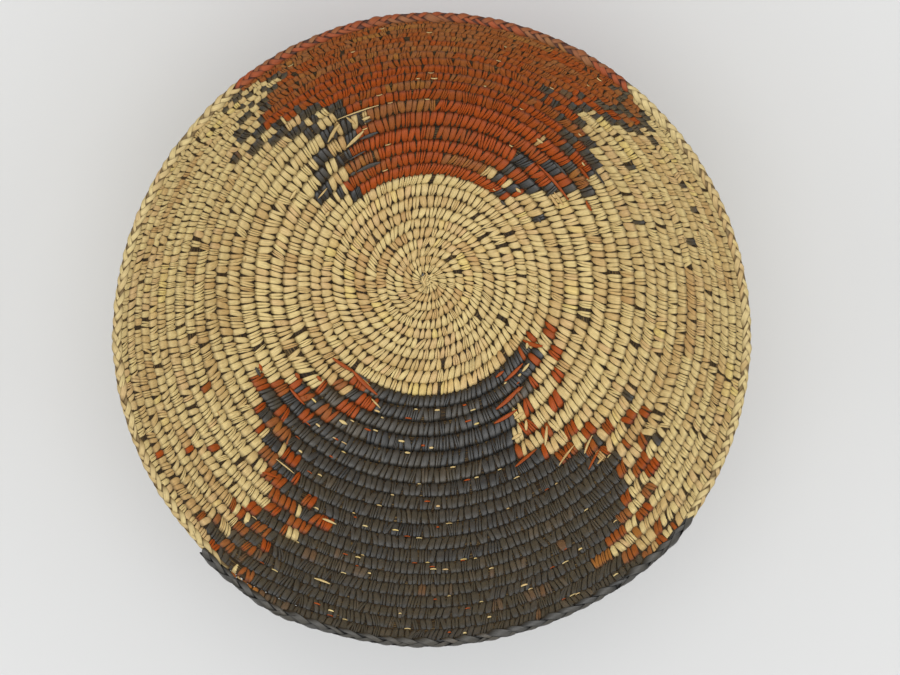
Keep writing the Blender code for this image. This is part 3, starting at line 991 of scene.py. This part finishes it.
def make_strip(name, stops, width, tone, look):
    """A loose splint through stops of row line, angle in degrees and height over the wall's middle."""
    stops = np.array(stops, float)
    key = np.linspace(0.0, 1.0, len(stops))
    fine = np.linspace(0.0, 1.0, STRIP_STEPS)
    row, degrees, lift = (smooth_through(key, stops[:, index], fine) for index in range(3))
    centre, _, _, inside = surface(row, np.radians(degrees))
    place = centre + inside * lift[:, None]
    onward = unit(np.gradient(place, axis=0))
    side = unit(np.cross(inside, onward))
    out = unit(np.cross(onward, side))
    widths = width * np.clip(np.sin(np.linspace(*STRIP_ENDS, STRIP_STEPS)), STRIP_LEAST_WIDTH, 1.0)
    shade = np.zeros((1, STRIP_STEPS))
    return make_bands(
        name, place[None], side[None], out[None], widths[None], False, np.array([tone]), shade, look
    )


def smooth_through(key, values, fine):
    """A smooth curve through a few values, as a polynomial through all of them."""
    return np.polyval(np.polyfit(key, values, len(key) - 1), fine)


def join(name, pieces):
    """One object from several, which keeps their maps and values."""
    with bpy.context.temp_override(active_object=pieces[0], selected_editable_objects=pieces):
        bpy.ops.object.join()
    pieces[0].name = name
    pieces[0].data.name = name
    return pieces[0]


PIECE_MOST = 620  # stitches in one mesh


def colour_of(field):
    return field.split("_")[0]


def dress_field(field, colour, stitches):
    """The stitches of one colour in one field, in as few meshes as their size allows."""
    name = field + ("_stitches" if colour == colour_of(field) else "_stripes_" + colour)
    chunks = math.ceil(len(stitches) / PIECE_MOST)
    for chunk in range(chunks):
        some = stitches[chunk * len(stitches) // chunks : (chunk + 1) * len(stitches) // chunks]
        suffix = f"_{chunk + 1}" if chunks > 1 else ""
        finish_piece(make_stitches(name + suffix, some, LOOKS[colour]), colour, field + "_stitching")


def dress_flecks(field, stitches):
    """The flecks of one field: pale ones, and on charcoal a few of rust."""
    own = colour_of(field)
    chosen = [
        stitch for stitch in stitches
        if stitch.field == field and stitch.colour == own and dice.random() < FLECK[own]
    ]
    tones = NATURAL_FLECK_TONES if own == "natural" else PALE_FLECK_TONES
    pale = make_flecks(field + "_flecks", chosen, tones, LOOKS["natural"])
    finish_piece(pale, "natural", field + "_stitching")
    if field == "charcoal":
        few = chosen[::RUST_FLECK_STEP]
        few = [stitch._replace(turn=stitch.turn + RUST_FLECK_SHIFT) for stitch in few]
        rust = make_flecks("charcoal_rust_flecks", few, RUST_FLECK_TONES, LOOKS["rust"])
        finish_piece(rust, "rust", "charcoal_stitching")


def dress():
    """Every piece of the bowl, on its body, with the solid that it stands for."""
    stitches = lay_out_stitches()
    groups = {}
    for stitch in stitches:
        groups.setdefault((stitch.field, stitch.colour), []).append(stitch)
    for (field, colour), some in groups.items():
        if field == "natural_centre":
            start = [stitch for stitch in some if stitch.turn < TIGHT_TURNS]
            some = [stitch for stitch in some if stitch.turn >= TIGHT_TURNS]
            finish_piece(make_stitches("start_stitches", start, LOOKS[colour]), colour, "start_stitching")
        dress_field(field, colour, some)
    for field in ("natural_left", "natural_right", "rust", "charcoal"):
        dress_flecks(field, stitches)
    finish_piece(make_foundation(), "grass", "foundation_coil")
    for field, first, last, chevron, splint in RIM_RUNS:
        colour = colour_of(field)
        piece = make_braid("rim_strands_" + field, first, last, chevron, splint, LOOKS[colour])
        finish_piece(piece, colour, "rim_braid_" + field)
        piece = make_core("rim_core_" + field, first, last, LOOKS[colour])
        finish_piece(piece, colour, "rim_braid_" + field)
    make_knot()
    make_laid_splints()
    make_loose_ends()


def finish_piece(piece, colour, *nodes):
    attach(piece, "root")
    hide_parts(*nodes)


# The knot's crossing splints: row line, angle in degrees and height over the knot's top in mm
KNOT_STRIPS = (
    ((1.50, 118, 0), (0.55, 105, 0.4), (0.35, 250, 0.2)),
    ((1.25, 236, 0), (0.42, 225, 0.6), (0.95, 100, 0.2)),
    ((1, 330, -0.3), (0.3, 350, 0), (0.9, 130, -0.3)),
    ((1, 290, -0.5), (0.2, 300, -0.2), (1, 20, -0.4)),
    ((0.9, 150, -0.7), (0.1, 90, -0.5), (0.9, 350, -0.6)),
    ((0.9, 60, -0.9), (0.1, 200, -0.8), (0.9, 230, -0.9)),
    ((0.9, 190, -1.1), (0.1, 10, -1), (0.9, 10, -1.1)),
    ((0.9, 270, -1.3), (0.1, 0, -1.2), (0.9, 95, -1.3)),
)
knot_lift = 0.0002
knot_strip_width = 0.0011
KNOT_FIRST_TONE = 0.25
KNOT_TONE_STEP = 0.09


def make_knot():
    """The splints that cross at the very start of the spiral."""
    top = centre_half_thickness + knot_lift
    pieces = []
    for index, strip in enumerate(KNOT_STRIPS):
        stops = [(row, degrees, top + height / MM) for row, degrees, height in strip]
        tone = KNOT_FIRST_TONE + KNOT_TONE_STEP * index
        pieces.append(make_strip(f"knot_strip_{index}", stops, knot_strip_width, tone, LOOKS["natural"]))
    finish_piece(join("knot_strips", pieces), "natural", "start_knot")


# Splints laid along a row, by field: colour, row with the share across it (two where they differ at
# the ends), angle in degrees at both ends, width in mm
LAID_SPLINTS = {
    "rust": """
C 13.25 124.8 122.2 1.8
N 16.1 16.7 120 112 1.8
C 16.2 114.5 107.6 1.8
N 17.35 18.3 121.9 118 1.4
N 18.3 17.4 115 113.6 1.4
N 17.6 111 108.4 1.8
C 17.3 111 108.2 1.4
C 18.3 114.5 108 1.8
N 18.5 18.3 117.6 104.8 0.9
C 15.3 121.7 114.5 0.9
N 13.7 141 135.5 0.9
N 12.4 146 143 1.8
N 15.3 147 143 1.6
N 15.3 37.5 31.6 1.6
N 15.65 37.5 31.6 1.4
C 19.3 38.2 32.3 1.8
R 18.4 39.8 35.4 2
C 17.05 45.7 39.8 1.5
R 16.1 48.8 32.3 1.5
R 17.2 29.7 26 1.8
C 13.6 32.2 29.4 1.6
C 12.1 48.8 45.4 1.6
N 13.8 48.2 45.4 1.6
N 17.7 54.8 52.6 1.8
""",
    "charcoal": """
R 12.1 12.5 231.6 218.5 1.8
N 12.4 12.2 241.3 235.6 0.9
N 13.6 13.2 249.4 244.4 0.9
C 12.1 239.7 231.9 1.5
R 16.1 224 216.6 1.5
R 14.2 222.5 219.7 1.6
R 15.2 216 213.6 2
R 17 206.6 204.2 1.8
C 17.4 207.5 204.4 1.8
N 15.5 240 236.9 1.6
N 20.5 233 227 0.9
N 22.5 247.5 244 1.7
N 27.6 249.4 246 1.6
R 21.5 21.9 230 226 2
R 15.2 305.8 295.8 1.8
R 13.1 320 308.3 1.7
R 18.1 18.5 304.2 296.4 1.8
R 21.3 21.8 318.6 313.3 1.6
N 19.7 20 313.9 307.3 1.4
N 17.3 18.3 310.8 307 1.6
N 15.6 307 303.2 1.7
N 16.1 16.7 306.4 304.5 1.6
R 14.25 313 308.3 1.4
N 13.5 322 317.3 1.4
N 12.5 12.7 330 326.7 1.6
R 12.5 311 306 1.4
N 20.1 20.7 319.5 314.8 1.5
N 21.9 318.2 315.8 1.6
N 16.7 302.6 299 1.6
""",
}
laid_lift = 0.0003  # at the middle of a laid splint
laid_spare = 0.0001
LAID_TONES = (0.1, 0.5)


def make_laid_splints():
    """The ends that run along a row before they are bound in."""
    groups = {}
    for field, lines in LAID_SPLINTS.items():
        for line in lines.strip().splitlines():
            letter, *numbers = line.split()
            *rows, first, last, width_mm = map(float, numbers)
            colour = COLOURS[letter]
            stops = []
            for place in (0.0, 0.5, 1.0):
                degrees = first + (last - first) * place
                row = rows[0] + (rows[-1] - rows[0]) * place
                lift = wall_half_thickness * float(height_share(row % 1.0 - 0.5))
                lift += laid_lift * math.sin(math.pi * place)
                stops.append((turn_at(int(row), degrees) + row % 1.0, degrees, lift + laid_spare))
            tone = float(dice.uniform(*LAID_TONES))
            made = make_strip("laid_splint", stops, width_mm / MM, tone, LOOKS[colour])
            groups.setdefault((field, colour), []).append(made)
    for (field, colour), pieces in groups.items():
        finish_piece(join(f"{field}_laid_splints_{colour}", pieces), colour, field + "_stitching")


# Loose ends: colour, width, and the row line and angle in degrees of three places
LOOSE_ENDS = {
    "charcoal": ("charcoal", 0.0022, ((13.2, 121.8), (13.21, 116.3), (13.23, 110.8))),
    "natural": ("natural", 0.0020, ((16.25, 123.9), (16.8, 120.5), (17.31, 117.8))),
    "rust_lower_left": ("rust", 0.0020, ((11.8, 229), (12.1, 237), (12.5, 246))),
    "rust_right": ("rust", 0.0020, ((11.5, 329), (12.4, 330), (13.1, 332))),
    "rust_lower_right": ("rust", 0.0020, ((13.6, 312), (13.8, 306), (14.0, 299))),
}
loose_lifts = (0.0, 0.0007, 0.0016)
LOOSE_TONE = 0.3


def make_loose_ends():
    """Ends of splint that stand a little off the inside of the bowl."""
    for end, (colour, width, places) in LOOSE_ENDS.items():
        heights = [wall_half_thickness + lift for lift in loose_lifts]
        stops = [(row, degrees, height) for (row, degrees), height in zip(places, heights)]
        piece = make_strip("loose_splint_" + end, stops, width, LOOSE_TONE, LOOKS[colour])
        finish_piece(piece, colour, "loose_end_" + end)


FLOOR_SIZE = 6.0
FLOOR_COLOUR = (0.63, 0.635, 0.635, 1.0)
FLOOR_ROUGHNESS = 0.9


def make_floor():
    """A plain pale floor under the bowl."""
    bpy.ops.mesh.primitive_plane_add(size=FLOOR_SIZE, location=(0.0, 0.0, 0.0))
    floor = bpy.context.object
    floor.name = "floor"
    made, _, shader = new_material("floor")
    shader.inputs["Base Color"].default_value = FLOOR_COLOUR
    shader.inputs["Roughness"].default_value = FLOOR_ROUGHNESS
    floor.data.materials.append(made)


SKY = 0.52
SKY_COLOUR = (1.0, 1.0, 1.0, 1.0)
LAMP_SPREAD = math.radians(50.0)

# Soft lamps: energy, and in degrees the height over the horizon and the way it comes from
LAMPS = {
    "overhead": (1.25, 80.0, 100.0),
    "front": (0.45, 38.0, 270.0),
    "right": (0.45, 38.0, 0.0),
    "back": (0.45, 38.0, 90.0),
    "left": (0.45, 38.0, 180.0),
}


def make_light():
    """An even sky and soft lamps from all sides."""
    world = bpy.data.worlds.new("studio")
    bpy.context.scene.world = world
    world.use_nodes = True
    sky = world.node_tree.nodes["Background"]
    sky.inputs["Color"].default_value = SKY_COLOUR
    sky.inputs["Strength"].default_value = SKY
    for name, (energy, over, way) in LAMPS.items():
        data = bpy.data.lights.new(name, "SUN")
        data.energy = energy
        data.angle = LAMP_SPREAD
        lamp = add_object(name, data)
        lamp.rotation_euler = (0.0, math.radians(90.0 - over), math.radians(way))


def make_camera():
    """The camera, placed so that the bowl's base, depth and tilt lie as in the photograph."""
    data = bpy.data.cameras.new("camera")
    data.sensor_width = SENSOR_MM
    data.lens = camera_distance_px / PICTURE_PX * SENSOR_MM
    data.clip_start = clip_start
    camera = add_object("camera", data)
    turn = Matrix.Rotation(-TILT_X, 4, "X") @ Matrix.Rotation(TILT_Y, 4, "Y")
    local = Vector((-camera_shift_px[0], -camera_shift_px[1], camera_distance_px)) * BASE_PIXEL
    place = turn @ local + Vector((CENTRE.x, CENTRE.y, camera_height_zero))
    camera.matrix_world = Matrix.Translation(place) @ turn
    bpy.context.scene.camera = camera


make_camera()
dress()
make_floor()
make_light()
bpy.context.scene.view_settings.view_transform = "Standard"
